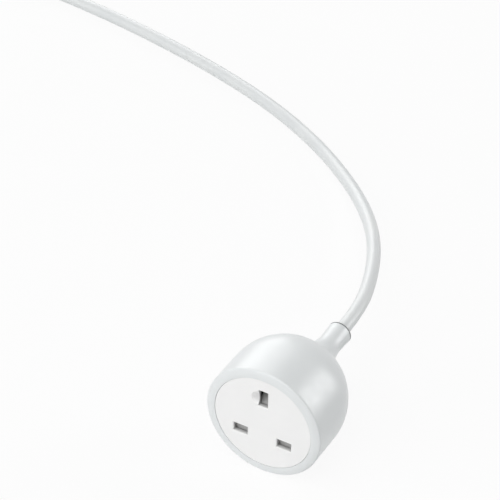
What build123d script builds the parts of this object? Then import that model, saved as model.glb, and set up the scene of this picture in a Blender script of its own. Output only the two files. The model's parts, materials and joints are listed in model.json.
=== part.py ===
# Trailing extension socket: a round single socket head on its lead, with a fused plug at the far end.
# Millimetres. +Z is up, the socket's face looks along -Y and the lead leaves along +Y.
# The origin lies under the middle of the head, on the surface that the head lies on.

import math
import os

from build123d import *

# Pins and where they stand, shared by the socket and the plug
pin_pitch = 22.23
pin_thickness = 4.0
line_pin_width = 6.35
line_pin_length = 17.7
earth_pin_width = 8.0
earth_pin_length = 22.7

# Head: barrel, dome and neck
head_radius = 29.05
rim_width = 4.45
rim_flat_share = 0.2
rim_crown_share = 0.69
rim_crown_turn = 22.0
rim_stand = 0.1
dome_depth = 20.1
neck_radius = 5.6
neck_blend = 24.5
neck_length = 9.5
neck_lip = 0.35
neck_lip_round = 0.15
neck_groove_width = 0.5
neck_groove_depth = 0.6
neck_groove_edge = 0.35
wall = 2.7

# Face plate and how it snaps into the head
plate_thickness = 2.4
plate_clearance = 0.12
plate_chamfer = 0.12
ledge_width = 1.2
ledge_thickness = 2.8
slot_ease_long = 0.9
slot_ease_short = 0.7
slot_chamfer = 0.3
scoop_reach = 3.6
scoop_depth = 1.15
hook_count = 4
hook_thickness = 1.8
hook_arc = 16.0
hook_catch = 0.9
hook_nose = 2.4
hook_clearance = 0.2

# Shutter behind the slots, and its spring
running_clearance = 0.3
shutter_thickness = 1.8
shutter_corner = 0.45
flap_overlap = 0.3
flap_ease = 0.4
stem_width = 8.0
ramp_width = 6.4
ramp_ease = 0.25
lug_width = 3.4
lug_height = 2.0
lug_depth = 3.5
spring_length = 8.2
spring_radius = 1.35
spring_wire = 0.4
spring_turns = 5

# Contact carrier and its screws
carrier_depth = 21.5
carrier_wall = 1.6
chamber_room = 2.0
chamber_ease = 1.2
chamber_wall = 2.2
screw_x = 14.5
screw_height = 8.0
boss_radius = 3.0
screw_radius = 1.2
screw_bite = 3.6
screw_seat = 6.0
screw_head_radius = 2.5
screw_head_height = 1.8
screw_slot = 0.7
screw_clearance = 0.05

# Contacts and the cores that reach them
strip_thickness = 0.6
strip_grip = 3.4
strip_flare = 1.1
strip_lead_in = 2.2
strip_bend = 0.5
contact_ease = 0.5
barrel_wall = 0.5
barrel_length = 6.5
barrel_ease = 0.3
core_radius = 1.3
core_clearance = 0.05
core_spread = 1.6
core_straight = 2.5
core_bend = 2.6
core_entry = 3.0

# Lead, its anchor in the neck and its coil
cord_radius = 3.5
cord_clearance = 0.15
anchor_radius = 7.0
anchor_length = 5.0
anchor_recess = 1.6
anchor_clearance = 0.1
sheath_reach = 2.0
lead_straight = 20.0
bend_share = 0.45
coil_centre = (-389.0, 206.5)
coil_mid_radius = 42.0
coil_pitch = 7.4
coil_columns = 3
coil_layers = 2
coil_round = 3.0
coil_stub = 28.0
coil_approach = 45.0
coil_entry_lift = 0.2
tie_angle = -60.0
tie_arc = 12.0
tie_thickness = 0.6
tail_straight = 20.0

# Plug, lying on its back with its pins up
plug_offset = (-42.0, -156.0)
plug_height = 25.0
plug_flange = 7.5
plug_half_width = 24.5
plug_cord_half_width = 20.0
plug_earth_end = 24.5
plug_cord_end = 25.0
plug_crown = 2.0
plug_corner = 7.0
plug_step = 1.6
plug_back_inset = 6.0
plug_edge = 1.2
plug_back_edge = 2.5
plug_nose = 1.5
plug_nose_radius = 8.0
groove_count = 3
groove_width = 1.4
groove_pitch = 3.6
groove_start = 5.0
groove_depth = 0.8
pin_root = 6.0
pin_tip_chamfer = 1.2
sleeve_length = 9.2
sleeve_wall = 0.6

# Fuse in the plug
fuse_radius = 3.175
fuse_length = 25.4
fuse_cap_length = 6.2
fuse_tube_step = 0.2
fuse_cover = 2.0
fuse_gap = 0.4
fuse_room = 0.6
fuse_fit = 0.15
fuse_centre = 4.9
cover_width = 9.4
cover_clearance = 0.2
cover_notch = 2.4
cheek_thickness = 1.0
clip_thickness = 0.5
clip_width = 5.0
clip_rise = 1.0

# Strain relief on the plug
relief_root_radius = 6.0
relief_end_radius = 4.7
relief_length = 32.0
relief_socket = 6.0
relief_grooves = 6
relief_groove_width = 1.7
relief_groove_pitch = 4.4
relief_groove_start = 4.0
relief_web = 0.8
relief_clearance = 0.1
relief_straight = 18.0


# Places worked out from the sizes above
half_pitch = pin_pitch / 2
earth_height = (half_pitch**2 + pin_pitch**2) / (2 * pin_pitch)
line_height = earth_height - pin_pitch
line_place = (half_pitch, line_height)
neutral_place = (-half_pitch, line_height)
earth_place = (0.0, earth_height)

blend_radius_out = neck_radius + neck_blend
centre_reach = head_radius + neck_blend
blend_depth = dome_depth + math.sqrt(centre_reach**2 - blend_radius_out**2)
dome_share = head_radius / centre_reach
dome_touch = (blend_radius_out * dome_share, dome_depth + (blend_depth - dome_depth) * dome_share)
neck_end = blend_depth + neck_length

axis_height = head_radius
face_y = rim_stand - (rim_stand + neck_end) / 2
neck_y = face_y + neck_end

seat_radius = head_radius - rim_width
rim_turn = math.radians(rim_crown_turn)
rim_flat = rim_width * rim_flat_share
crown_reach = rim_width * rim_crown_share
crown_drop = crown_reach * math.tan(rim_turn / 2)
edge_reach = rim_width - rim_flat - crown_reach
edge_drop = edge_reach * math.cos(rim_turn) / (1 - math.sin(rim_turn))
plate_radius = seat_radius - plate_clearance
ledge_radius = seat_radius - ledge_width
ledge_back = plate_thickness + ledge_thickness
cavity_radius = head_radius - wall
hook_outer = ledge_radius - hook_clearance
hook_inner = hook_outer - hook_thickness
carrier_radius = hook_inner - running_clearance

slot_short = pin_thickness + slot_ease_short
line_slot = (line_pin_width + slot_ease_long, slot_short)
earth_slot = (slot_short, earth_pin_width + slot_ease_long)

shutter_front = plate_thickness + running_clearance
shutter_back = shutter_front + shutter_thickness
shutter_travel = slot_short + flap_overlap + flap_ease
flap_height = slot_short + 2 * flap_overlap
flap_low = line_height - flap_height / 2
flap_reach = half_pitch + line_slot[0] / 2 + flap_overlap
ramp_toe = earth_height - earth_slot[1] / 2
ramp_top = earth_height - earth_pin_width / 2 + shutter_travel - ramp_ease
ramp_back = shutter_front + ramp_top - ramp_toe
ramp_low = ramp_toe - shutter_thickness
lug_back = shutter_back + lug_depth

carrier_front = shutter_back + running_clearance
carrier_back = carrier_front + carrier_depth
disc_back = max(ramp_back, lug_back) + running_clearance + carrier_wall
spring_seat = flap_low - spring_length
spring_depth = shutter_back + lug_depth / 2
line_chamber_back = carrier_back - 2 * chamber_wall
earth_chamber_back = carrier_back - chamber_wall
line_chamber = (line_slot[0] + chamber_ease, pin_thickness + 2 * chamber_room)
earth_chamber = (pin_thickness + 2 * chamber_room, earth_slot[1] + chamber_ease)
barrel_bore = core_radius + core_clearance
barrel_radius = barrel_bore + barrel_wall
screw_places = [(screw_x, screw_height), (-screw_x, screw_height)]
screw_seat_depth = carrier_front + screw_seat
screw_tip_depth = carrier_front - screw_bite

bore_radius = cord_radius + cord_clearance
anchor_seat_radius = anchor_radius + cord_clearance
cavity_end = dome_depth + math.sqrt(cavity_radius**2 - anchor_seat_radius**2)
anchor_back = cavity_end + anchor_recess
anchor_front = anchor_back - anchor_length
sheath_front = anchor_front - sheath_reach

coil_x, coil_y = coil_centre
coil_width = coil_columns * coil_pitch
coil_height = coil_layers * 2 * cord_radius
outer_turn = coil_mid_radius + (coil_columns - 1) / 2 * coil_pitch
entry_height = cord_radius + coil_entry_lift
leave_height = coil_height - cord_radius - coil_entry_lift

plug_x = coil_x + plug_offset[0]
plug_y = coil_y + plug_offset[1]
plug_step_height = plug_height - plug_flange
nose_y = plug_y + plug_cord_end + plug_nose
relief_root_y = nose_y - relief_socket
relief_mouth_y = nose_y + relief_length
fuse_y = plug_y + fuse_centre
fuse_height = plug_height - fuse_cover - fuse_gap - fuse_radius
pocket_floor = fuse_height - fuse_radius - fuse_fit - clip_thickness
pocket_length = fuse_length + 2 * fuse_room

# Planes of the head: the face as it is seen, and the half section that is turned about the axis
head_axis = Axis((0, face_y, axis_height), (0, 1, 0))
head_section = Plane(origin=(0, face_y, axis_height), x_dir=(1, 0, 0), z_dir=(0, 0, 1))


def at_depth(depth):
    """The plane that lies so far behind the face, seen from the front, with earth up."""
    return Plane(origin=(0, face_y + depth, axis_height), x_dir=(1, 0, 0), z_dir=(0, -1, 0))


def in_head(place, depth):
    """A point of the head, by its place on the face and its depth behind it."""
    return Vector(place[0], face_y + depth, axis_height + place[1])


def save(piece, node):
    """Labels a finished piece and writes it as one node."""
    piece.label = node
    export_step(piece, f"parts/{node}.step")


os.makedirs("parts", exist_ok=True)

# Housing: crowned rim, barrel, dome and neck turned in one section, with a fine groove at the neck's end
with BuildPart() as housing:
    with BuildSketch(head_section):
        with BuildLine():
            rim = Line((seat_radius, -rim_stand), (seat_radius + rim_flat, -rim_stand))
            slope = TangentArc(rim @ 1, rim @ 1 + Vector(crown_reach, crown_drop), tangent=rim % 1)
            rim_edge = TangentArc(slope @ 1, slope @ 1 + Vector(edge_reach, edge_drop), tangent=slope % 1)
            barrel = Line(rim_edge @ 1, (head_radius, dome_depth))
            dome = TangentArc(barrel @ 1, dome_touch, tangent=barrel % 1)
            blend = TangentArc(dome @ 1, (neck_radius, blend_depth), tangent=dome % 1)
            lip = TangentArc(blend @ 1, (neck_radius + neck_lip, neck_end), tangent=blend % 1)
            bore = Polyline(
                lip @ 1,
                (bore_radius, neck_end),
                (bore_radius, anchor_back),
                (anchor_seat_radius, anchor_back),
                (anchor_seat_radius, cavity_end),
            )
            cavity = RadiusArc(bore @ 1, (cavity_radius, dome_depth), cavity_radius)
            Polyline(
                cavity @ 1,
                (cavity_radius, ledge_back),
                (ledge_radius, ledge_back),
                (ledge_radius, plate_thickness),
                (seat_radius, plate_thickness),
                rim @ 0,
            )
        make_face()
    revolve(axis=head_axis)
    neck_edges = housing.faces().sort_by(Axis.Y)[-1].edges().sort_by(SortBy.RADIUS)
    fillet(neck_edges[-1], neck_lip_round)
    groove_middle = neck_end - neck_groove_edge - neck_groove_width / 2
    with BuildSketch(head_section):
        with Locations((neck_radius + neck_lip, groove_middle)):
            Rectangle(2 * neck_groove_depth, neck_groove_width)
    revolve(axis=head_axis, mode=Mode.SUBTRACT)
save(housing.part, "housing")

# Face plate: disc with three slots, bosses for the carrier's screws and hooks that catch the ledge
with BuildPart() as face_plate:
    with BuildSketch(at_depth(0)):
        Circle(plate_radius)
        with Locations(line_place, neutral_place):
            Rectangle(*line_slot, mode=Mode.SUBTRACT)
        with Locations(earth_place):
            Rectangle(*earth_slot, mode=Mode.SUBTRACT)
    extrude(amount=-plate_thickness)
    front = face_plate.faces().sort_by(Axis.Y)[0]
    chamfer(front.inner_wires().edges(), slot_chamfer)
    front = face_plate.faces().sort_by(Axis.Y)[0]
    chamfer(front.outer_wire().edges(), plate_chamfer)
    scoop_radius = (scoop_reach**2 + scoop_depth**2) / (2 * scoop_depth)
    with Locations(in_head((-slot_short / 2, earth_height), scoop_depth - scoop_radius)):
        Sphere(scoop_radius, mode=Mode.SUBTRACT)
    with BuildSketch(at_depth(plate_thickness)):
        with Locations(*screw_places):
            Circle(boss_radius)
    extrude(amount=plate_thickness - carrier_front)
    with BuildSketch(at_depth(carrier_front)):
        with Locations(*screw_places):
            Circle(screw_radius + screw_clearance)
    extrude(amount=screw_bite, mode=Mode.SUBTRACT)
    catch_depth = ledge_back + hook_clearance
    for hook in range(hook_count):
        hook_start = hook * 360 / hook_count - hook_arc / 2
        with BuildSketch(head_section.rotated((0, -hook_start, 0))):
            Polygon(
                (hook_inner, plate_thickness),
                (hook_outer, plate_thickness),
                (hook_outer, catch_depth),
                (hook_outer + hook_catch, catch_depth),
                (hook_outer, catch_depth + hook_nose),
                (hook_inner, catch_depth + hook_nose),
                align=None,
            )
        revolve(axis=head_axis, revolution_arc=hook_arc)
save(face_plate.part, "face_plate")

# Shutter: two flaps across the lower slots, a stem, and a ramp behind the earth slot
with BuildPart() as shutter:
    with BuildSketch(at_depth(shutter_front)) as shutter_outline:
        with Locations((0, line_height)):
            Rectangle(2 * flap_reach, flap_height)
        with Locations((0, (flap_low + ramp_toe) / 2)):
            Rectangle(stem_width, ramp_toe - flap_low)
        fillet(shutter_outline.vertices(), shutter_corner)
    extrude(amount=-shutter_thickness)
    with BuildSketch(Plane.YZ):
        Polygon(
            (face_y + shutter_front, axis_height + ramp_low),
            (face_y + shutter_front, axis_height + ramp_toe),
            (face_y + ramp_back, axis_height + ramp_top),
            (face_y + ramp_back, axis_height + ramp_low),
            align=None,
        )
    extrude(amount=ramp_width / 2, both=True)
    with BuildSketch(at_depth(shutter_back)):
        with Locations((0, flap_low + lug_height / 2)):
            Rectangle(lug_width, lug_height)
    extrude(amount=-lug_depth)
save(shutter.part, "shutter")

# Shutter spring: a coil between the carrier's seat and the shutter's lug
with BuildPart() as shutter_spring:
    coil_rise = spring_length - spring_wire
    with BuildLine() as spring_path:
        Helix(
            pitch=coil_rise / spring_turns,
            height=coil_rise,
            radius=spring_radius,
            center=in_head((0, spring_seat + spring_wire / 2), spring_depth),
        )
    with BuildSketch(Plane(origin=spring_path.line @ 0, z_dir=spring_path.line % 0)):
        Circle(spring_wire / 2)
    sweep(path=spring_path.line, is_frenet=True)
save(shutter_spring.part, "shutter_spring")


def grown(size, wall):
    """The sides of a rectangle with a wall added all round."""
    return (size[0] + 2 * wall, size[1] + 2 * wall)


# Contact carrier: a disc with a skirt, and behind it a box for each contact and a pillar for each screw
with BuildPart() as contact_carrier:
    with BuildSketch(at_depth(carrier_front)):
        Circle(carrier_radius)
    extrude(amount=-carrier_depth)
    with BuildSketch(at_depth(carrier_back)):
        Circle(carrier_radius - carrier_wall)
        with Locations(line_place, neutral_place):
            Rectangle(*grown(line_chamber, carrier_wall), mode=Mode.SUBTRACT)
        with Locations(earth_place):
            Rectangle(*grown(earth_chamber, carrier_wall), mode=Mode.SUBTRACT)
        with Locations(*screw_places):
            Circle(screw_head_radius + running_clearance + carrier_wall, mode=Mode.SUBTRACT)
    extrude(amount=carrier_back - disc_back, mode=Mode.SUBTRACT)
    with BuildSketch(at_depth(carrier_front)):
        with Locations(line_place, neutral_place):
            Rectangle(*line_chamber)
    extrude(amount=carrier_front - line_chamber_back, mode=Mode.SUBTRACT)
    with BuildSketch(at_depth(carrier_front)):
        with Locations(earth_place):
            Rectangle(*earth_chamber)
    extrude(amount=carrier_front - earth_chamber_back, mode=Mode.SUBTRACT)
    channel_low = ramp_low - shutter_travel - running_clearance
    channel_high = ramp_top + running_clearance
    with BuildSketch(at_depth(carrier_front)):
        with Locations((0, (channel_low + channel_high) / 2)):
            Rectangle(ramp_width + 2 * running_clearance, channel_high - channel_low)
    extrude(amount=carrier_front - ramp_back - running_clearance, mode=Mode.SUBTRACT)
    groove_high = flap_low + lug_height + running_clearance
    with BuildSketch(at_depth(carrier_front)):
        with Locations((0, (spring_seat + groove_high) / 2)):
            Rectangle(lug_width + 2 * running_clearance, groove_high - spring_seat)
    extrude(amount=carrier_front - lug_back - running_clearance, mode=Mode.SUBTRACT)
    with BuildSketch(at_depth(carrier_back)):
        with Locations(line_place, neutral_place, earth_place):
            Circle(barrel_radius + barrel_ease)
    extrude(amount=2 * chamber_wall, mode=Mode.SUBTRACT)
    with BuildSketch(at_depth(carrier_back)):
        with Locations(*screw_places):
            Circle(screw_head_radius + running_clearance)
    extrude(amount=carrier_back - screw_seat_depth, mode=Mode.SUBTRACT)
    with BuildSketch(at_depth(screw_seat_depth)):
        with Locations(*screw_places):
            Circle(screw_radius + running_clearance)
    extrude(amount=screw_seat, mode=Mode.SUBTRACT)
save(contact_carrier.part, "contact_carrier")

# Carrier screws: from behind, through the carrier into the face plate's bosses
with BuildPart() as carrier_screws:
    with BuildSketch(at_depth(screw_seat_depth)):
        with Locations(*screw_places):
            Circle(screw_radius)
    extrude(amount=screw_seat_depth - screw_tip_depth)
    with BuildSketch(at_depth(screw_seat_depth)):
        with Locations(*screw_places):
            Circle(screw_head_radius)
    extrude(amount=-screw_head_height)
    with BuildSketch(at_depth(screw_seat_depth + screw_head_height)):
        with Locations(*screw_places):
            Rectangle(2 * screw_head_radius, screw_slot)
    extrude(amount=screw_head_height / 2, mode=Mode.SUBTRACT)
save(carrier_screws.part, "carrier_screws")


def make_contact(place, width_axis, strip_width, front, back):
    """A strip folded to two sprung leaves, with a crimp barrel behind its web."""
    side = Plane(origin=in_head(place, 0), x_dir=(0, 1, 0), z_dir=width_axis)
    root = pin_thickness / 2 + contact_ease
    grip = strip_grip / 2
    with BuildPart() as contact:
        with BuildSketch(side):
            with BuildLine():
                FilletPolyline(
                    (front, grip + strip_flare),
                    (front + strip_lead_in, grip),
                    (back - strip_lead_in, root),
                    (back, root),
                    (back, -root),
                    (back - strip_lead_in, -root),
                    (front + strip_lead_in, -grip),
                    (front, -grip - strip_flare),
                    radius=strip_bend,
                )
                offset(amount=strip_thickness, side=Side.RIGHT)
            make_face()
        extrude(amount=strip_width / 2, both=True)
        with BuildSketch(at_depth(back - strip_thickness)):
            with Locations(place):
                Circle(barrel_radius)
        extrude(amount=-strip_thickness - barrel_length)
        with BuildSketch(at_depth(back + barrel_length)):
            with Locations(place):
                Circle(barrel_bore)
        extrude(amount=barrel_length, mode=Mode.SUBTRACT)
    return contact.part


# Contacts: line and neutral grip their pins from above and below, earth from both sides
line_ends = (carrier_front + running_clearance, line_chamber_back)
earth_ends = (ramp_back + 2 * running_clearance, earth_chamber_back)
save(make_contact(line_place, (1, 0, 0), line_pin_width, *line_ends), "line_contact")
save(make_contact(neutral_place, (1, 0, 0), line_pin_width, *line_ends), "neutral_contact")
save(make_contact(earth_place, (0, 0, 1), earth_pin_width, *earth_ends), "earth_contact")


def make_core(place, chamber_back):
    """An insulated core, from the sheath's end to the barrel of its contact."""
    reach = math.hypot(*place)
    start = (place[0] / reach * core_spread, place[1] / reach * core_spread)
    mouth = chamber_back + barrel_length
    with BuildPart() as core:
        with BuildLine() as core_path:
            FilletPolyline(
                in_head(start, sheath_front),
                in_head(start, sheath_front - core_straight),
                in_head(place, mouth + core_straight),
                in_head(place, mouth - core_entry),
                radius=core_bend,
            )
        with BuildSketch(Plane(origin=core_path.line @ 0, z_dir=core_path.line % 0)):
            Circle(core_radius)
        sweep(path=core_path.line)
    return core.part


# Cores: one to each contact
save(make_core(line_place, line_chamber_back), "line_core")
save(make_core(neutral_place, line_chamber_back), "neutral_core")
save(make_core(earth_place, earth_chamber_back), "earth_core")

# Sheath in the neck, and the collar on it that takes the pull
with BuildPart() as cord_inner_end:
    with BuildSketch(at_depth(neck_end)):
        Circle(cord_radius)
    extrude(amount=neck_end - sheath_front)
save(cord_inner_end.part, "cord_inner_end")

with BuildPart() as cord_anchor:
    with BuildSketch(at_depth(anchor_back)):
        Circle(anchor_radius)
        Circle(cord_radius + anchor_clearance, mode=Mode.SUBTRACT)
    extrude(amount=anchor_length)
    chamfer(cord_anchor.edges().group_by(Axis.Y)[0], cord_clearance)
save(cord_anchor.part, "cord_anchor")

# Lead: the route that it takes from the neck, down to the surface and off to its coil
lead_route = [
    (0, neck_y, axis_height),
    (0, neck_y + lead_straight, axis_height),
    (-7.5, 83.8, 26.6),
    (-20, 112.7, 21.5),
    (-38, 141.6, 14.5),
    (-63, 169.9, 8),
    (-95.5, 196.5, 4),
    (-134, 216.7, cord_radius),
    (-177.5, 231.4, cord_radius),
    (-221.5, 242.2, cord_radius),
    (-265.5, 250.2, cord_radius),
    (coil_x + coil_stub + coil_approach, coil_y + outer_turn, entry_height),
    (coil_x + coil_stub, coil_y + outer_turn, entry_height),
]

# Tail: from the coil's last turn into the plug's strain relief
tail_route = [
    (coil_x - outer_turn, coil_y - coil_stub, leave_height),
    (coil_x - outer_turn, coil_y - coil_stub - tail_straight, leave_height),
    (plug_x, relief_mouth_y + relief_straight, leave_height),
    (plug_x, relief_root_y, leave_height),
]


def bend_radii(route):
    """The largest arc at each point of a route that its two runs leave room for."""
    points = [Vector(*point) for point in route]
    radii = []
    for before, here, after in zip(points, points[1:], points[2:]):
        arriving = here - before
        leaving = after - here
        half_turn = math.radians(arriving.get_angle(leaving)) / 2
        radii.append(bend_share * min(arriving.length, leaving.length) / math.tan(half_turn))
    return radii


def make_tube(route, name):
    """A plain round tube along a route, whose volume is held against its section and length."""
    radii = bend_radii(route)
    with BuildPart() as tube:
        with BuildLine() as tube_path:
            FilletPolyline(*route, radius=radii)
        with BuildSketch(Plane(origin=tube_path.line @ 0, z_dir=tube_path.line % 0)):
            Circle(cord_radius)
        sweep(path=tube_path.line)
    length = sum(edge.length for edge in tube_path.line.edges())
    share = tube.part.volume / (math.pi * cord_radius**2 * length)
    print(name, "length", round(length, 1), "radii", [round(radius) for radius in radii])
    print(name, "volume as a share of section times length", round(share, 4))
    return tube.part


save(make_tube(lead_route, "cord_lead"), "cord_lead")
save(make_tube(tail_route, "cord_tail"), "cord_tail")

# Tie: a thin strap round the coil's turns, which lie on it where it passes under them
coil_axis = Axis((coil_x, coil_y, 0), (0, 0, 1))


def coil_section(angle):
    """The upright plane that cuts the coil at an angle, with its radius along x."""
    turn = math.radians(angle)
    outwards = (math.cos(turn), math.sin(turn), 0)
    return Plane(origin=(coil_x, coil_y, 0), x_dir=outwards, z_dir=(outwards[1], -outwards[0], 0))


with BuildPart() as coil_tie:
    with BuildSketch(coil_section(tie_angle)):
        with Locations((coil_mid_radius, (coil_height + tie_thickness) / 2)):
            RectangleRounded(
                coil_width + 2 * tie_thickness, coil_height + tie_thickness, coil_round + tie_thickness
            )
            RectangleRounded(coil_width, coil_height - tie_thickness, coil_round, mode=Mode.SUBTRACT)
    revolve(axis=coil_axis, revolution_arc=tie_arc)
save(coil_tie.part, "coil_tie")

# Coil: the put-away length as one ring, with the ends of its first and last turns
with BuildPart() as cord_coil:
    with BuildSketch(coil_section(0)):
        with Locations((coil_mid_radius, coil_height / 2)):
            RectangleRounded(coil_width, coil_height, coil_round)
    revolve(axis=coil_axis)
    with BuildSketch(Plane(origin=(coil_x, coil_y + outer_turn, entry_height), z_dir=(1, 0, 0))):
        Circle(cord_radius)
    extrude(amount=coil_stub)
    with BuildSketch(Plane(origin=(coil_x - outer_turn, coil_y, leave_height), z_dir=(0, -1, 0))):
        Circle(cord_radius)
    extrude(amount=coil_stub)
    add(coil_tie.part, mode=Mode.SUBTRACT)
save(cord_coil.part, "cord_coil")

# Plug: its own planes, seen from above with the lead leaving at the top
plug_line_place = (half_pitch, -line_height)
plug_neutral_place = (-half_pitch, -line_height)
plug_earth_place = (0.0, -earth_height)


def plug_level(height):
    """The level plane of the plug at a height above the surface."""
    return Plane(origin=(plug_x, plug_y, height))


def plug_outline(inset):
    """The plug's outline, drawn in all round by an inset, with a crowned earth end."""
    wide = plug_half_width - inset
    narrow = plug_cord_half_width - inset
    earth_end = -plug_earth_end + inset
    cord_end = plug_cord_end - inset
    with BuildSketch() as outline:
        with BuildLine():
            crown_start = (-wide, earth_end + plug_crown)
            crown_end = (wide, earth_end + plug_crown)
            crown = ThreePointArc(crown_start, (0, earth_end), crown_end)
            Polyline(crown @ 1, (narrow, cord_end), (-narrow, cord_end), crown @ 0)
        make_face()
        fillet(outline.vertices(), plug_corner)
    return outline.sketch


def grip_inset(height):
    """How far the grip's wall stands inside the plug's outline at a height."""
    return plug_back_inset + (plug_step - plug_back_inset) * height / plug_step_height


# Plug body: a flange round the pin face, a grooved grip behind it and a nose for the lead
with BuildPart() as plug_body:
    with BuildSketch(plug_level(0)):
        add(plug_outline(plug_back_inset))
    with BuildSketch(plug_level(plug_step_height)):
        add(plug_outline(plug_step))
    loft()
    fillet(plug_body.faces().sort_by(Axis.Z)[0].edges(), plug_back_edge)
    for groove in range(groove_count):
        low = groove_start + groove * groove_pitch
        with BuildSketch(plug_level(low)):
            add(plug_outline(0))
            add(plug_outline(grip_inset(low) + groove_depth), mode=Mode.SUBTRACT)
        extrude(amount=groove_width, mode=Mode.SUBTRACT)
    with BuildSketch(plug_level(plug_step_height)):
        add(plug_outline(0))
    extrude(amount=plug_flange)
    fillet(plug_body.faces().sort_by(Axis.Z)[-1].edges(), plug_edge)
    with BuildSketch(Plane(origin=(plug_x, nose_y, leave_height), z_dir=(0, -1, 0))):
        Circle(plug_nose_radius)
    extrude(amount=relief_socket + plug_back_inset)
    with BuildSketch(Plane(origin=(plug_x, nose_y, leave_height), z_dir=(0, -1, 0))):
        Circle(relief_root_radius + relief_clearance)
    extrude(amount=relief_socket, mode=Mode.SUBTRACT)
    with BuildSketch(plug_level(plug_height)):
        with Locations((0, fuse_centre)):
            Rectangle(cover_width + 2 * cover_clearance, pocket_length)
    extrude(amount=pocket_floor - plug_height, mode=Mode.SUBTRACT)
    with BuildSketch(plug_level(plug_height)):
        with Locations(plug_line_place, plug_neutral_place):
            Rectangle(line_pin_width, pin_thickness)
        with Locations(plug_earth_place):
            Rectangle(pin_thickness, earth_pin_width)
    extrude(amount=-pin_root, mode=Mode.SUBTRACT)
save(plug_body.part, "plug_body")

# Strain relief: a tapered sleeve with grooves that let it bend
with BuildPart() as plug_strain_relief:
    relief_section = Plane(origin=(plug_x, nose_y, leave_height), x_dir=(1, 0, 0), z_dir=(0, 0, 1))
    with BuildSketch(relief_section):
        Polygon(
            (bore_radius, -relief_socket),
            (relief_root_radius, -relief_socket),
            (relief_root_radius, 0),
            (relief_end_radius, relief_length),
            (bore_radius, relief_length),
            align=None,
        )
        groove_reach = relief_root_radius - bore_radius - relief_web
        for groove in range(relief_grooves):
            middle = relief_groove_start + groove * relief_groove_pitch
            with Locations((relief_root_radius, middle)):
                Rectangle(2 * groove_reach, relief_groove_width, mode=Mode.SUBTRACT)
    revolve(axis=Axis((plug_x, nose_y, leave_height), (0, 1, 0)))
save(plug_strain_relief.part, "plug_strain_relief")


def make_line_pin(place):
    """A flat pin, necked where its sleeve goes, with its root in the plug's body."""
    with BuildPart() as pin:
        with BuildSketch(plug_level(plug_height - pin_root)):
            with Locations(place):
                Rectangle(line_pin_width, pin_thickness)
        extrude(amount=pin_root)
        with BuildSketch(plug_level(plug_height)):
            with Locations(place):
                Rectangle(line_pin_width - 2 * sleeve_wall, pin_thickness - 2 * sleeve_wall)
        extrude(amount=sleeve_length)
        with BuildSketch(plug_level(plug_height + sleeve_length)):
            with Locations(place):
                Rectangle(line_pin_width, pin_thickness)
        extrude(amount=line_pin_length - sleeve_length)
        chamfer(pin.faces().sort_by(Axis.Z)[-1].edges(), pin_tip_chamfer)
    return pin.part


def make_sleeve(place):
    """The insulating sleeve that fills a pin's neck flush with its sides."""
    with BuildPart() as sleeve:
        with BuildSketch(plug_level(plug_height)):
            with Locations(place):
                Rectangle(line_pin_width, pin_thickness)
                Rectangle(
                    line_pin_width - 2 * sleeve_wall, pin_thickness - 2 * sleeve_wall, mode=Mode.SUBTRACT
                )
        extrude(amount=sleeve_length)
    return sleeve.part


# Pins: line and neutral with their sleeves, and the longer bare earth pin
save(make_line_pin(plug_line_place), "plug_line_pin")
save(make_line_pin(plug_neutral_place), "plug_neutral_pin")
save(make_sleeve(plug_line_place), "line_pin_sleeve")
save(make_sleeve(plug_neutral_place), "neutral_pin_sleeve")

with BuildPart() as plug_earth_pin:
    with BuildSketch(plug_level(plug_height - pin_root)):
        with Locations(plug_earth_place):
            Rectangle(pin_thickness, earth_pin_width)
    extrude(amount=pin_root + earth_pin_length)
    chamfer(plug_earth_pin.faces().sort_by(Axis.Z)[-1].edges(), pin_tip_chamfer)
save(plug_earth_pin.part, "plug_earth_pin")

# Fuse carrier: a cover flush with the pin face, with two cheeks that clasp the fuse
cheek_gap = 2 * (fuse_radius + fuse_fit)
tube_length = fuse_length - 2 * fuse_cap_length
with BuildPart() as fuse_carrier:
    with BuildSketch(plug_level(plug_height)):
        with Locations((0, fuse_centre)):
            Rectangle(cover_width, pocket_length - 2 * cover_clearance)
    extrude(amount=-fuse_cover)
    with BuildSketch(plug_level(plug_height - fuse_cover)):
        with Locations((0, fuse_centre)):
            Rectangle(cheek_gap + 2 * cheek_thickness, tube_length - 2 * fuse_room)
            Rectangle(cheek_gap, tube_length, mode=Mode.SUBTRACT)
    extrude(amount=-fuse_gap - fuse_radius - clip_rise)
    with BuildSketch(plug_level(plug_height)):
        with Locations((0, fuse_centre + pocket_length / 2 - cover_clearance)):
            Rectangle(cover_notch, cover_notch)
    extrude(amount=-fuse_cover / 2, mode=Mode.SUBTRACT)
save(fuse_carrier.part, "fuse_carrier")

# Fuse: a ceramic tube between two metal caps
cap_offset = (fuse_length - fuse_cap_length) / 2
cap_start = fuse_y - fuse_length / 2
with BuildPart() as fuse_tube:
    with BuildSketch(Plane(origin=(plug_x, cap_start + fuse_cap_length, fuse_height), z_dir=(0, 1, 0))):
        Circle(fuse_radius - fuse_tube_step)
    extrude(amount=tube_length)
save(fuse_tube.part, "fuse_tube")

with BuildPart() as fuse_caps:
    for start in (cap_start, cap_start + fuse_length - fuse_cap_length):
        with BuildSketch(Plane(origin=(plug_x, start, fuse_height), z_dir=(0, 1, 0))):
            Circle(fuse_radius)
        extrude(amount=fuse_cap_length)
save(fuse_caps.part, "fuse_caps")

# Fuse clips: a sprung channel under each cap
with BuildPart() as fuse_clips:
    with BuildSketch(plug_level(pocket_floor)):
        with Locations((0, fuse_centre - cap_offset), (0, fuse_centre + cap_offset)):
            Rectangle(cheek_gap + 2 * clip_thickness, clip_width)
    extrude(amount=fuse_height + clip_rise - pocket_floor)
    with BuildSketch(plug_level(pocket_floor + clip_thickness)):
        with Locations((0, fuse_centre)):
            Rectangle(cheek_gap, pocket_length)
    extrude(amount=fuse_height + clip_rise - pocket_floor, mode=Mode.SUBTRACT)
save(fuse_clips.part, "fuse_clips")
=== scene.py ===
import json
import math

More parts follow.
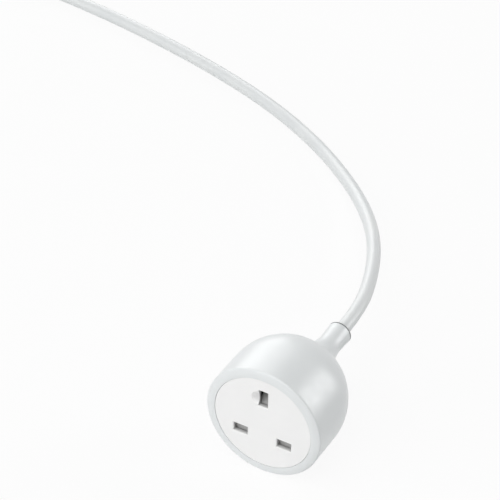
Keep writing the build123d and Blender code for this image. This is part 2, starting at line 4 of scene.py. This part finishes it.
import bpy
from mathutils import Matrix, Vector


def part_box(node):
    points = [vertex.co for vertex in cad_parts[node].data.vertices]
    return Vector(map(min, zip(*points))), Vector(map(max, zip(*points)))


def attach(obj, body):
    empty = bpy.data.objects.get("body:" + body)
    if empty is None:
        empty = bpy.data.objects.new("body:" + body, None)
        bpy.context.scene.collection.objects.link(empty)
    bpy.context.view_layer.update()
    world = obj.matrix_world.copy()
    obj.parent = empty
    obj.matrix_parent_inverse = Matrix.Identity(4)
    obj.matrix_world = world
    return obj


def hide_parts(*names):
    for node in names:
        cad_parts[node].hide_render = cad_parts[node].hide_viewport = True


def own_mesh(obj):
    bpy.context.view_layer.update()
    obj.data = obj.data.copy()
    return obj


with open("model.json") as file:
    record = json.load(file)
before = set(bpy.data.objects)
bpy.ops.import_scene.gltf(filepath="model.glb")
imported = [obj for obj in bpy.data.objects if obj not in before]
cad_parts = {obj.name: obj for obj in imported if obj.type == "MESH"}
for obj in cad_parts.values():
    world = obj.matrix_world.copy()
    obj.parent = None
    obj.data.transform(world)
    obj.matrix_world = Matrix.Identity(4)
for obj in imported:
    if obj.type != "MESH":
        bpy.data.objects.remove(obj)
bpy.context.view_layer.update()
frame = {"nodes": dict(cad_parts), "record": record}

# Looks of a round trailing socket on its white lead. Metres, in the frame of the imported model.
scene = bpy.context.scene
nodes = frame["nodes"]

# Places read from the frame
head_low, head_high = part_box("housing")
face_low, face_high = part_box("face_plate")
relief_low, relief_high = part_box("plug_strain_relief")
spring_low, spring_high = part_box("shutter_spring")
neck_end = head_high.y
axis_height = (head_low.z + head_high.z) / 2
face_middle = Vector((0, face_low.y, axis_height))
relief_x = (relief_low.x + relief_high.x) / 2
relief_height = (relief_low.z + relief_high.z) / 2

# Camera, fitted to the slots and the rim in the photograph, which is 500 pixels square
picture_width = 500
focal_pixels = 2355
face_pixel = (262.36, 423.26)
camera_azimuth = math.radians(28.63)
camera_pitch = math.radians(37.79)
camera_roll = math.radians(1.6)
camera_distance = 1.05
sensor_width = 36.0

# Lead
cord_diameter = 0.007
cord_radius = cord_diameter / 2
cord_sides = 10
cord_steps = 12
lead_straight = 0.020
tail_straight = 0.020
tail_height = relief_height
relief_straight = 0.018

# Coil of the put-away lead, and the turns at which it moves in, moves out and climbs
coil_middle = Vector((-0.389, 0.2065, 0))
coil_mid_radius = 0.042
coil_pitch = 0.0074
coil_stub = 0.028
coil_approach = 0.045
coil_turns = 5.25
turn_points = 16
inward_jogs = (1.04, 2.04)
outward_jogs = (4.04, 5.04)
jog_turns = 0.16
climb_start = 2.92
climb_turns = 0.22

# Painted shade, in the slots and at the neck's end: where it starts and ends along the head's axis, and
# the share of the colour that it leaves
# Painted shade on the slots' walls, darker with depth behind the face
slot_painted_shade = (face_low.y + 0.0003, face_low.y + 0.0024, 0.35)
# Painted shade line at the neck's end: its last 0.8 millimetres are darkened
neck_painted_shade = (neck_end - 0.0009, neck_end - 0.0008, 0.45)

# Strain relief on the plug
relief_socket = 0.006
relief_end_radius = 0.0047
relief_grooves = 6
relief_groove_start = 0.004
relief_groove_pitch = 0.0044
relief_groove_width = 0.0017
relief_groove_radius = 0.00445
relief_edge = 0.00035
relief_sides = 40
relief_steps = 320

# Tie round the coil
tie_angle = math.radians(-66)
tie_width = 0.0085
tie_thickness = 0.0006
tie_corner = 0.0034
tie_pinch = 0.0004
tie_edge_share = 0.45
tie_corner_steps = 8
tie_edge_steps = 3
tie_lift_arc = math.radians(34)

# Spring under the shutter, drawn at one length; the real one shortens by the shutter's travel
spring_wire = 0.0004
spring_turns = 5.0
spring_turn_steps = 36
spring_wire_sides = 12

# Room
floor_reach = 6.0
floor_whiteness = 0.90
room_light = 0.10
white = (1, 1, 1, 1)


# Node helpers
def add_node(tree, kind, inputs=None, **settings):
    """A node with its settings, whose inputs are set to a value or linked to a socket."""
    node = tree.nodes.new(kind)
    for name, value in settings.items():
        setattr(node, name, value)
    for name, value in (inputs or {}).items():
        if isinstance(value, bpy.types.NodeSocket):
            tree.links.new(value, node.inputs[name])
        else:
            node.inputs[name].default_value = value
    return node


def combined(tree, operation, first, second):
    """Two numbers brought together by one operation."""
    return add_node(tree, "ShaderNodeMath", {0: first, 1: second}, operation=operation).outputs["Value"]


def new_finish(name):
    """A material with its tree, its shader and the place of each point on the object."""
    material = bpy.data.materials.new(name)
    material.use_nodes = True
    tree = material.node_tree
    shader = tree.nodes["Principled BSDF"]
    place = add_node(tree, "ShaderNodeTexCoord").outputs["Object"]
    return material, tree, shader, place


def noise(tree, place, size, detail=3.0, stretch=None):
    """Noise whose lumps are about so many metres across, drawn out along an axis if asked."""
    if stretch:
        inputs = {"Vector": place, "Scale": stretch}
        place = add_node(tree, "ShaderNodeMapping", inputs).outputs["Vector"]
    inputs = {"Vector": place, "Scale": 1 / size, "Detail": detail}
    return add_node(tree, "ShaderNodeTexNoise", inputs).outputs["Fac"]


def tinted(tree, factor, low, high):
    """A colour that goes from one tint to another with a noise."""
    ramp = add_node(tree, "ShaderNodeValToRGB", {"Fac": factor})
    for stop, position, tint in zip(ramp.color_ramp.elements, (0.35, 0.65), (low, high)):
        stop.position = position
        stop.color = (*tint, 1)
    return ramp.outputs["Color"]


def shaded(tint, share):
    """A tint brought down to a share of itself."""
    return [level * share for level in tint]


def ranged(tree, factor, low, high):
    """A number that goes from low to high with a noise."""
    inputs = {"Value": factor, "From Min": 0.3, "From Max": 0.7, "To Min": low, "To Max": high}
    return add_node(tree, "ShaderNodeMapRange", inputs).outputs["Result"]


def bumped(tree, height, depth, under=None):
    """A bump of so many metres, on top of another one if given."""
    inputs = {"Height": height, "Distance": depth, "Strength": 1.0}
    if under:
        inputs["Normal"] = under
    return add_node(tree, "ShaderNodeBump", inputs).outputs["Normal"]


# Finishes
def with_painted_shade(tree, place, colour, start, end, depth):
    """A colour darkened along the head's axis as painted shade, from one place to another, to a share of
    itself.
    """
    along = add_node(tree, "ShaderNodeSeparateXYZ", {"Vector": place}).outputs["Y"]
    inputs = {"Value": along, "From Min": start, "From Max": end, "To Min": 1.0, "To Max": depth}
    level = add_node(tree, "ShaderNodeMapRange", inputs).outputs["Result"]
    inputs = {0: colour, "Scale": level}
    return add_node(tree, "ShaderNodeVectorMath", inputs, operation="SCALE").outputs["Vector"]


def moulded_plastic(name, tint, roughness, grain, specular=0.5, painted_shade=None):
    """Moulded plastic: a trace of clouding, gloss that varies a little, slow sink and a fine skin, with
    painted shade along the head's axis where asked.
    """
    cloud_size, cloud_shade = 0.012, 0.985
    gloss_size, gloss_low, gloss_high = 0.004, 0.88, 1.12
    sink_size, sink_depth = 0.018, 0.00003
    skin_depth = grain * 0.002
    material, tree, shader, place = new_finish(name)
    colour = tinted(tree, noise(tree, place, cloud_size), shaded(tint, cloud_shade), tint)
    # painted shade: the colour darkens along the head's axis where a span is given
    if painted_shade:
        colour = with_painted_shade(tree, place, colour, *painted_shade)
    tree.links.new(colour, shader.inputs["Base Color"])
    gloss = noise(tree, place, gloss_size, detail=5.0)
    rough = ranged(tree, gloss, roughness * gloss_low, roughness * gloss_high)
    tree.links.new(rough, shader.inputs["Roughness"])
    sink = bumped(tree, noise(tree, place, sink_size, detail=0.0), sink_depth)
    skin = bumped(tree, noise(tree, place, grain, detail=1.0), skin_depth, under=sink)
    tree.links.new(skin, shader.inputs["Normal"])
    shader.inputs["Specular IOR Level"].default_value = specular
    return material


def drawn_metal(name, tint, roughness, stretch):
    """Rolled or drawn metal: fine marks along one axis and a slight change of tint."""
    tarnish_size, tarnish_shade = 0.003, 0.94
    mark_size, mark_depth = 0.0003, 0.000001
    gloss_low, gloss_high = 0.85, 1.15
    material, tree, shader, place = new_finish(name)
    shader.inputs["Metallic"].default_value = 1.0
    colour = tinted(tree, noise(tree, place, tarnish_size), shaded(tint, tarnish_shade), tint)
    tree.links.new(colour, shader.inputs["Base Color"])
    marks = noise(tree, place, mark_size, stretch=stretch)
    rough = ranged(tree, marks, roughness * gloss_low, roughness * gloss_high)
    tree.links.new(rough, shader.inputs["Roughness"])
    tree.links.new(bumped(tree, marks, mark_depth), shader.inputs["Normal"])
    return material


def sheath_vinyl():
    """The lead's sheath: glossy soft vinyl, with the slow waves that the cores under it leave."""
    cloud_size, dull_tint, clear_tint = 0.02, (0.71, 0.735, 0.74), (0.74, 0.76, 0.76)
    gloss_size, gloss_low, gloss_high = 0.005, 0.37, 0.43
    wave_size, wave_depth = 0.012, 0.000008
    skin_size, skin_depth = 0.0006, 0.0000001
    material, tree, shader, place = new_finish("sheath_vinyl")
    colour = tinted(tree, noise(tree, place, cloud_size), dull_tint, clear_tint)
    tree.links.new(colour, shader.inputs["Base Color"])
    gloss = noise(tree, place, gloss_size, detail=4.0)
    tree.links.new(ranged(tree, gloss, gloss_low, gloss_high), shader.inputs["Roughness"])
    waves = bumped(tree, noise(tree, place, wave_size, detail=0.0), wave_depth)
    skin = bumped(tree, noise(tree, place, skin_size, detail=1.0), skin_depth, under=waves)
    tree.links.new(skin, shader.inputs["Normal"])
    shader.inputs["Specular IOR Level"].default_value = 0.9
    return material


def core_insulation(name, tint, stripe=None):
    """Insulation of one core, with a second colour in bands where it has one."""
    band_scale = 160.0
    cloud_size, cloud_shade = 0.004, 0.9
    gloss_size, gloss_low, gloss_high = 0.002, 0.3, 0.42
    material, tree, shader, place = new_finish(name)
    if stripe:
        inputs = {"Vector": place, "Scale": band_scale}
        bands = add_node(tree, "ShaderNodeTexWave", inputs, bands_direction="X")
        colour = tinted(tree, bands.outputs["Fac"], tint, stripe)
    else:
        colour = tinted(tree, noise(tree, place, cloud_size), shaded(tint, cloud_shade), tint)
    tree.links.new(colour, shader.inputs["Base Color"])
    gloss = noise(tree, place, gloss_size)
    tree.links.new(ranged(tree, gloss, gloss_low, gloss_high), shader.inputs["Roughness"])
    return material


def fuse_ceramic():
    """Unglazed ceramic of the fuse's tube, with fine pores."""
    pore_size, pore_depth = 0.0006, 0.00002
    pore_tint, ceramic_tint = (0.80, 0.78, 0.72), (0.88, 0.86, 0.80)
    gloss_low, gloss_high = 0.5, 0.7
    material, tree, shader, place = new_finish("fuse_ceramic")
    pores = noise(tree, place, pore_size, detail=6.0)
    tree.links.new(tinted(tree, pores, pore_tint, ceramic_tint), shader.inputs["Base Color"])
    tree.links.new(ranged(tree, pores, gloss_low, gloss_high), shader.inputs["Roughness"])
    tree.links.new(bumped(tree, pores, pore_depth), shader.inputs["Normal"])
    return material


def woven_strap():
    """The tie's woven nylon: threads across and along, on the strap's own lie."""
    thread_scale, thread_depth = 420.0, 0.00008
    gap_tint, thread_tint = (0.62, 0.63, 0.64), (0.74, 0.75, 0.76)
    material, tree, shader, place = new_finish("woven_strap")
    inputs = {"Vector": place, "Rotation": (0, 0, -tie_angle)}
    turned = add_node(tree, "ShaderNodeMapping", inputs).outputs["Vector"]
    inputs = {"Vector": turned, "Scale": thread_scale}
    along = add_node(tree, "ShaderNodeTexWave", inputs, bands_direction="Y").outputs["Fac"]
    across = add_node(tree, "ShaderNodeTexWave", inputs, bands_direction="DIAGONAL").outputs["Fac"]
    weave = ranged(tree, combined(tree, "ADD", along, across), 0.0, 1.0)
    tree.links.new(tinted(tree, weave, gap_tint, thread_tint), shader.inputs["Base Color"])
    tree.links.new(bumped(tree, weave, thread_depth), shader.inputs["Normal"])
    shader.inputs["Roughness"].default_value = 0.75
    return material


# One finish for each slot of the record: tint, roughness, then grain or the marks' stretch
finishes = {
    # The shell carries a painted shade line at the neck's end
    "housing": moulded_plastic(
        "shell_white", (0.765, 0.79, 0.795), 0.36, 0.0008, specular=1.0, painted_shade=neck_painted_shade
    ),
    # The face carries painted shade on its slots' walls
    "face": moulded_plastic("face_white", (0.91, 0.91, 0.907), 0.40, 0.0006, painted_shade=slot_painted_shade),
    # Mid-grey shutter: partly its own grey, partly painted shade for the slots' dim depth
    "shutter": moulded_plastic("shutter_grey_with_painted_shade", (0.42, 0.42, 0.415), 0.48, 0.0006),
    # Near-black carrier: painted shade for the dark depth behind the slots
    "carrier": moulded_plastic("carrier_black_as_painted_shade", (0.06, 0.06, 0.06), 0.5, 0.0006),
    "anchor": moulded_plastic("anchor_grey", (0.72, 0.72, 0.70), 0.5, 0.0006),
    "plug": moulded_plastic("plug_white", (0.80, 0.825, 0.83), 0.34, 0.0008),
    "relief": moulded_plastic("relief_white", (0.79, 0.815, 0.82), 0.42, 0.0008),
    "sleeve": moulded_plastic("sleeve_black", (0.03, 0.03, 0.032), 0.42, 0.0005),
    "fuse_cover": moulded_plastic("fuse_cover_white", (0.79, 0.80, 0.80), 0.42, 0.0006),
    "cord": sheath_vinyl(),
    "tie": woven_strap(),
    "contact_brass": drawn_metal("contact_brass", (0.78, 0.58, 0.27), 0.32, (1, 0.05, 1)),
    "pin_brass": drawn_metal("pin_brass", (0.76, 0.56, 0.25), 0.22, (1, 1, 0.05)),
    "spring_steel": drawn_metal("spring_steel", (0.60, 0.60, 0.61), 0.28, (1, 1, 1)),
    "screw_steel": drawn_metal("screw_steel", (0.64, 0.64, 0.66), 0.33, (1, 0.2, 1)),
    "fuse_metal": drawn_metal("fuse_nickel", (0.72, 0.70, 0.67), 0.26, (1, 0.1, 1)),
    "fuse_ceramic": fuse_ceramic(),
    "line_insulation": core_insulation("line_brown", (0.20, 0.09, 0.04)),
    "neutral_insulation": core_insulation("neutral_blue", (0.05, 0.16, 0.45)),
    "earth_insulation": core_insulation("earth_green", (0.10, 0.38, 0.08), stripe=(0.75, 0.66, 0.06)),
}


def dress_nodes():
    """Gives every node of the frame the finish of its slot in the record."""
    for part in frame["record"]["subparts"]:
        piece = nodes[part["node"]].data
        piece.materials.clear()
        piece.materials.append(finishes[part["material_slot"]])


# Lead
def eased(value, start, width):
    """A smooth step from 0 to 1 that begins at start and takes a width."""
    share = min(max((value - start) / width, 0), 1)
    return share * share * (3 - 2 * share)


def coil_points():
    """The put-away turns: three on the floor, from the outside in, and back out on top of them."""
    step = 2 * math.pi / turn_points
    points = []
    for index in range(round(coil_turns * turn_points)):
        turns = (index + 0.5) / turn_points
        angle = math.pi / 2 + turns * 2 * math.pi
        inwards = sum(eased(turns, start, jog_turns) for start in inward_jogs)
        outwards = sum(eased(turns, start, jog_turns) for start in outward_jogs)
        radius = (coil_mid_radius + coil_pitch * (1 - inwards + outwards)) / math.cos(step / 2)
        height = cord_radius + cord_diameter * eased(turns, climb_start, climb_turns)
        from_tie = abs((angle - tie_angle + math.pi) % (2 * math.pi) - math.pi)
        height += tie_thickness * (1 - eased(from_tie, tie_lift_arc / 2, tie_lift_arc))
        points.append(coil_middle + Vector((radius * math.cos(angle), radius * math.sin(angle), height)))
    return points


def cord_route():
    """The lead's points, from the neck to the floor, round its coil and into the plug's relief."""
    outer_turn = coil_mid_radius + coil_pitch
    entry_y = coil_middle.y + outer_turn
    leave_x = coil_middle.x - outer_turn
    leave_y = coil_middle.y - coil_stub
    lead = [
        (0, neck_end, axis_height),
        (0, neck_end + lead_straight, axis_height),
        (-0.0075, 0.0838, 0.0266),
        (-0.020, 0.1127, 0.0215),
        (-0.038, 0.1416, 0.0145),
        (-0.063, 0.1699, 0.008),
        (-0.0955, 0.1965, 0.004),
        (-0.134, 0.2167, cord_radius),
        (-0.1775, 0.2314, cord_radius),
        (-0.2215, 0.2422, cord_radius),
        (-0.2655, 0.2502, cord_radius),
        (coil_middle.x + coil_stub + coil_approach, entry_y, cord_radius),
        (coil_middle.x + coil_stub, entry_y, cord_radius),
    ]
    tail = [
        (leave_x, leave_y, cord_radius + cord_diameter),
        (leave_x, leave_y - tail_straight, tail_height),
        (relief_x, relief_high.y + relief_straight, tail_height),
        (relief_x, relief_low.y, tail_height),
    ]
    return lead + coil_points() + tail


def make_cord():
    """The lead as one smooth line of round section."""
    curve = bpy.data.curves.new("cord", "CURVE")
    curve.dimensions = "3D"
    spline = curve.splines.new("NURBS")
    route = cord_route()
    spline.points.add(len(route) - 1)
    for point, place in zip(spline.points, route):
        point.co = (*place, 1)
    spline.order_u = 3
    spline.use_endpoint_u = True
    spline.resolution_u = cord_steps
    spline.use_smooth = True
    curve.bevel_depth = cord_radius
    curve.bevel_resolution = cord_sides
    curve.use_fill_caps = True
    curve.materials.append(finishes["cord"])
    cord = bpy.data.objects.new("cord", curve)
    scene.collection.objects.link(cord)
    return cord


# Geometry Nodes
def shape_tree(name, sizes):
    """A tree with named sizes as its inputs, and the group nodes at its two ends."""
    tree = bpy.data.node_groups.new(name, "GeometryNodeTree")
    for label, value in sizes.items():
        kind = "NodeSocketInt" if isinstance(value, int) else "NodeSocketFloat"
        tree.interface.new_socket(label, in_out="INPUT", socket_type=kind)
    tree.interface.new_socket("Geometry", in_out="OUTPUT", socket_type="NodeSocketGeometry")
    return tree, tree.nodes.new("NodeGroupInput").outputs, tree.nodes.new("NodeGroupOutput")


def made_by_tree(tree, name, sizes):
    """The plain mesh that a tree makes with these sizes, as an object at the origin."""
    piece = bpy.data.objects.new(name, bpy.data.meshes.new(name))
    scene.collection.objects.link(piece)
    modifier = piece.modifiers.new("shape", "NODES")
    modifier.node_group = tree
    for socket in tree.interface.items_tree:
        if socket.in_out == "INPUT":
            modifier[socket.identifier] = sizes[socket.name]
    depsgraph = bpy.context.evaluated_depsgraph_get()
    mesh = bpy.data.meshes.new_from_object(piece.evaluated_get(depsgraph), depsgraph=depsgraph)
    piece.modifiers.remove(modifier)
    piece.data = mesh
    mesh.name = name
    return piece


def finish_tree(tree, geometry, output, finish):
    """Ends a tree in real geometry of one finish, shaded smooth where it is round."""
    real = add_node(tree, "GeometryNodeRealizeInstances", {"Geometry": geometry})
    smooth = add_node(tree, "GeometryNodeSetShadeSmooth", {"Geometry": real.outputs["Geometry"]})
    inputs = {"Geometry": smooth.outputs["Geometry"], "Material": finish}
    dressed = add_node(tree, "GeometryNodeSetMaterial", inputs)
    tree.links.new(dressed.outputs["Geometry"], output.inputs["Geometry"])


def rounded_rectangle(tree, width, height, corner, steps):
    """A rectangle with round corners, drawn on the flat."""
    sides = add_node(tree, "GeometryNodeCurvePrimitiveQuadrilateral", {"Width": width, "Height": height})
    inputs = {"Curve": sides.outputs["Curve"], "Count": steps, "Radius": corner}
    return add_node(tree, "GeometryNodeFilletCurve", inputs, mode="POLY").outputs["Curve"]


def ring(tree, sides, radius):
    """A circle of so many sides, drawn on the flat."""
    inputs = {"Resolution": sides, "Radius": radius}
    return add_node(tree, "GeometryNodeCurvePrimitiveCircle", inputs).outputs["Curve"]


def make_tie():
    """A strap round the coil's turns, swept along a loop that follows their section."""
    sizes = {
        "Loop width": 3 * coil_pitch - tie_pinch + tie_thickness,
        "Loop height": 2 * cord_diameter + tie_thickness,
        "Loop corner": tie_corner,
        "Strap width": tie_width,
        "Strap thickness": tie_thickness,
    }
    tree, size, output = shape_tree("coil_tie", sizes)
    loop = rounded_rectangle(
        tree, size["Loop width"], size["Loop height"], size["Loop corner"], tie_corner_steps
    )
    edge = combined(tree, "MULTIPLY", size["Strap thickness"], tie_edge_share)
    strap = rounded_rectangle(tree, size["Strap thickness"], size["Strap width"], edge, tie_edge_steps)
    inputs = {"Curve": loop, "Profile Curve": strap}
    swept = add_node(tree, "GeometryNodeCurveToMesh", inputs).outputs["Mesh"]
    across = Vector((math.cos(tie_angle), math.sin(tie_angle), 0))
    middle = coil_middle + across * coil_mid_radius
    inputs = {
        "Geometry": swept,
        "Translation": (middle.x, middle.y, cord_diameter + tie_thickness),
        "Rotation": (math.pi / 2, 0, tie_angle),
    }
    placed = add_node(tree, "GeometryNodeTransform", inputs).outputs["Geometry"]
    finish_tree(tree, placed, output, finishes["tie"])
    return made_by_tree(tree, "tie", sizes)


def make_relief():
    """The plug's strain relief: a tapered sleeve swept along its axis, with round-edged ribs."""
    sizes = {
        "Length": relief_high.y - relief_low.y,
        "Socket": relief_socket,
        "Root radius": (relief_high.x - relief_low.x) / 2,
        "End radius": relief_end_radius,
        "Groove radius": relief_groove_radius,
        "Groove start": relief_groove_start,
        "Groove pitch": relief_groove_pitch,
        "Groove width": relief_groove_width,
        "Edge": relief_edge,
        "Grooves": relief_grooves,
    }
    tree, size, output = shape_tree("strain_relief", sizes)
    inputs = {
        "Start": (relief_x, relief_low.y, relief_height),
        "Direction": (0, 1, 0),
        "Length": size["Length"],
    }
    line = add_node(tree, "GeometryNodeCurvePrimitiveLine", mode="DIRECTION", inputs=inputs)
    inputs = {"Curve": line.outputs["Curve"], "Count": relief_steps}
    axis = add_node(tree, "GeometryNodeResampleCurve", inputs).outputs["Curve"]
    travelled = add_node(tree, "GeometryNodeSplineParameter").outputs["Length"]
    along = combined(tree, "SUBTRACT", travelled, size["Socket"])
    taper = add_node(tree, "ShaderNodeMapRange", {
        "Value": along,
        "From Min": 0.0,
        "From Max": combined(tree, "SUBTRACT", size["Length"], size["Socket"]),
        "To Min": size["Root radius"],
        "To Max": size["End radius"],
    }).outputs["Result"]
    past_first = combined(tree, "SUBTRACT", along, size["Groove start"])
    place = combined(tree, "DIVIDE", past_first, size["Groove pitch"])
    nearest = add_node(tree, "ShaderNodeMath", {0: place}, operation="ROUND").outputs["Value"]
    last = combined(tree, "SUBTRACT", size["Grooves"], 1.0)
    nearest = combined(tree, "MINIMUM", combined(tree, "MAXIMUM", nearest, 0.0), last)
    offset = combined(tree, "SUBTRACT", place, nearest)
    aside = add_node(tree, "ShaderNodeMath", {0: offset}, operation="ABSOLUTE").outputs["Value"]
    aside = combined(tree, "MULTIPLY", aside, size["Groove pitch"])
    half_width = combined(tree, "MULTIPLY", size["Groove width"], 0.5)
    ribbed = add_node(tree, "ShaderNodeMapRange", {
        "Value": aside,
        "From Min": combined(tree, "SUBTRACT", half_width, size["Edge"]),
        "From Max": combined(tree, "ADD", half_width, size["Edge"]),
        "To Min": size["Groove radius"],
        "To Max": taper,
    }, interpolation_type="SMOOTHSTEP").outputs["Result"]
    mouth = add_node(tree, "ShaderNodeMapRange", {
        "Value": combined(tree, "SUBTRACT", size["Length"], travelled),
        "From Min": 0.0,
        "From Max": combined(tree, "MULTIPLY", size["Edge"], 2.0),
        "To Min": size["Edge"],
        "To Max": 0.0,
    }).outputs["Result"]
    inputs = {
        "Curve": axis,
        "Profile Curve": ring(tree, relief_sides, 1.0),
        "Scale": combined(tree, "SUBTRACT", ribbed, mouth),
        "Fill Caps": True,
    }
    sleeve = add_node(tree, "GeometryNodeCurveToMesh", inputs).outputs["Mesh"]
    finish_tree(tree, sleeve, output, finishes["relief"])
    return made_by_tree(tree, "relief", sizes)


def make_spring():
    """The shutter's spring: round wire swept along a helix, from its seat up to the shutter's lug."""
    sizes = {
        "Turns": spring_turns,
        "Turn radius": (spring_high.x - spring_low.x - spring_wire) / 2,
        "Rise": spring_high.z - spring_low.z - spring_wire,
        "Wire radius": spring_wire / 2,
    }
    tree, size, output = shape_tree("shutter_spring", sizes)
    helix = add_node(tree, "GeometryNodeCurveSpiral", {
        "Resolution": spring_turn_steps,
        "Rotations": size["Turns"],
        "Start Radius": size["Turn radius"],
        "End Radius": size["Turn radius"],
        "Height": size["Rise"],
    })
    inputs = {
        "Curve": helix.outputs["Curve"],
        "Profile Curve": ring(tree, spring_wire_sides, size["Wire radius"]),
        "Fill Caps": True,
    }
    wire = add_node(tree, "GeometryNodeCurveToMesh", inputs).outputs["Mesh"]
    middle = (spring_low + spring_high) / 2
    foot = (middle.x, middle.y, spring_low.z + spring_wire / 2)
    placed = add_node(tree, "GeometryNodeTransform", {"Geometry": wire, "Translation": foot})
    finish_tree(tree, placed.outputs["Geometry"], output, finishes["spring_steel"])
    return made_by_tree(tree, "spring", sizes)


# Stage
def seeing_ray(tree):
    """1 for the rays that see the background: from the camera, off gloss and through glass."""
    path = add_node(tree, "ShaderNodeLightPath").outputs
    either = combined(tree, "MAXIMUM", path["Is Camera Ray"], path["Is Glossy Ray"])
    return combined(tree, "MAXIMUM", either, path["Is Transmission Ray"])


def add_floor():
    """A wide white floor, which keeps a part of the object's shadow and isn't sampled as a lamp."""
    mesh = bpy.data.meshes.new("floor")
    corners = [(x * floor_reach, y * floor_reach, 0) for x, y in ((-1, -1), (1, -1), (1, 1), (-1, 1))]
    mesh.from_pydata(corners, [], [(0, 1, 2, 3)])
    floor = bpy.data.objects.new("floor", mesh)
    scene.collection.objects.link(floor)
    material, tree, shader, place = new_finish("floor_white")
    grain = noise(tree, place, 0.05)
    tree.links.new(tinted(tree, grain, (0.88, 0.88, 0.88), (0.9, 0.9, 0.9)), shader.inputs["Base Color"])
    shader.inputs["Roughness"].default_value = 0.9
    shader.inputs["Specular IOR Level"].default_value = 0.0
    glow = add_node(tree, "ShaderNodeEmission", {"Strength": 1.0}).outputs["Emission"]
    seen = combined(tree, "MULTIPLY", seeing_ray(tree), floor_whiteness)
    mixed = add_node(tree, "ShaderNodeMixShader", {0: seen, 1: shader.outputs["BSDF"], 2: glow})
    tree.links.new(mixed.outputs["Shader"], tree.nodes["Material Output"].inputs["Surface"])
    material.cycles.emission_sampling = "NONE"
    mesh.materials.append(material)


def add_world():
    """An even pale room, which is white to the rays that see it."""
    world = bpy.data.worlds.new("room")
    world.use_nodes = True
    scene.world = world
    tree = world.node_tree
    room = tree.nodes["Background"]
    room.inputs["Color"].default_value = white
    room.inputs["Strength"].default_value = room_light
    backdrop = add_node(tree, "ShaderNodeBackground", {"Color": white, "Strength": 1.0})
    inputs = {0: seeing_ray(tree), 1: room.outputs["Background"], 2: backdrop.outputs["Background"]}
    seen = add_node(tree, "ShaderNodeMixShader", inputs)
    tree.links.new(seen.outputs["Shader"], tree.nodes["World Output"].inputs["Surface"])


def add_softbox(name, towards, distance, width, height, radiance):
    """A rectangular soft lamp that looks at the head, as bright as the radiance that it shows."""
    lamp = bpy.data.lights.new(name, "AREA")
    lamp.shape = "RECTANGLE"
    lamp.size = width
    lamp.size_y = height
    lamp.energy = math.pi * width * height * radiance
    softbox = bpy.data.objects.new(name, lamp)
    direction = Vector(towards).normalized()
    softbox.location = Vector((0, 0, axis_height)) + direction * distance
    softbox.rotation_euler = direction.to_track_quat("Z", "Y").to_euler()
    scene.collection.objects.link(softbox)


def add_lights():
    """Soft light from the front left and above, and panels at the sides that draw the dome."""
    add_softbox("key_softbox", (-0.40, -0.80, 0.45), distance=1.6, width=2.2, height=1.5, radiance=1.52)
    add_softbox("top_softbox", (0, -0.45, 0.90), distance=1.6, width=1.8, height=1.4, radiance=1.4)
    add_softbox("sky_softbox", (0, 0, 1), distance=2.0, width=2.0, height=2.0, radiance=0.3)
    add_softbox("left_panel", (-0.67, 0.68, 0.30), distance=1.5, width=0.9, height=0.6, radiance=2.85)
    add_softbox("left_high_panel", (-0.45, 0.62, 0.65), distance=1.5, width=0.9, height=0.5, radiance=1.7)
    add_softbox("right_panel", (0.67, 0.67, 0.33), distance=1.5, width=0.42, height=1.0, radiance=5.0)


def add_camera():
    """The photograph's camera: the face's middle falls on its pixel."""
    back = Vector((
        math.sin(camera_azimuth) * math.cos(camera_pitch),
        -math.cos(camera_azimuth) * math.cos(camera_pitch),
        math.sin(camera_pitch),
    ))
    level = Vector((math.cos(camera_azimuth), math.sin(camera_azimuth), 0))
    upright = back.cross(level)
    right = level * math.cos(camera_roll) + upright * math.sin(camera_roll)
    up = back.cross(right)
    pixel = camera_distance / focal_pixels
    aside = (face_pixel[0] - picture_width / 2) * pixel
    below = (face_pixel[1] - picture_width / 2) * pixel
    eye = face_middle + back * camera_distance - right * aside + up * below
    lens = bpy.data.cameras.new("camera")
    lens.sensor_width = sensor_width
    lens.lens = sensor_width * focal_pixels / picture_width
    camera = bpy.data.objects.new("camera", lens)
    camera.matrix_world = Matrix.Translation(eye) @ Matrix((right, up, back)).transposed().to_4x4()
    scene.collection.objects.link(camera)
    scene.camera = camera


scene.view_settings.view_transform = "Standard"
add_camera()
add_floor()
add_world()
add_lights()
dress_nodes()

cord = make_cord()
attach(cord, "socket")
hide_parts("cord_lead", "cord_coil", "cord_tail")

tie = make_tie()
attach(tie, "socket")
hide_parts("coil_tie")

relief = make_relief()
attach(relief, "socket")
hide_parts("plug_strain_relief")

spring = make_spring()
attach(spring, "socket")
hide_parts("shutter_spring")
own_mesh(spring)
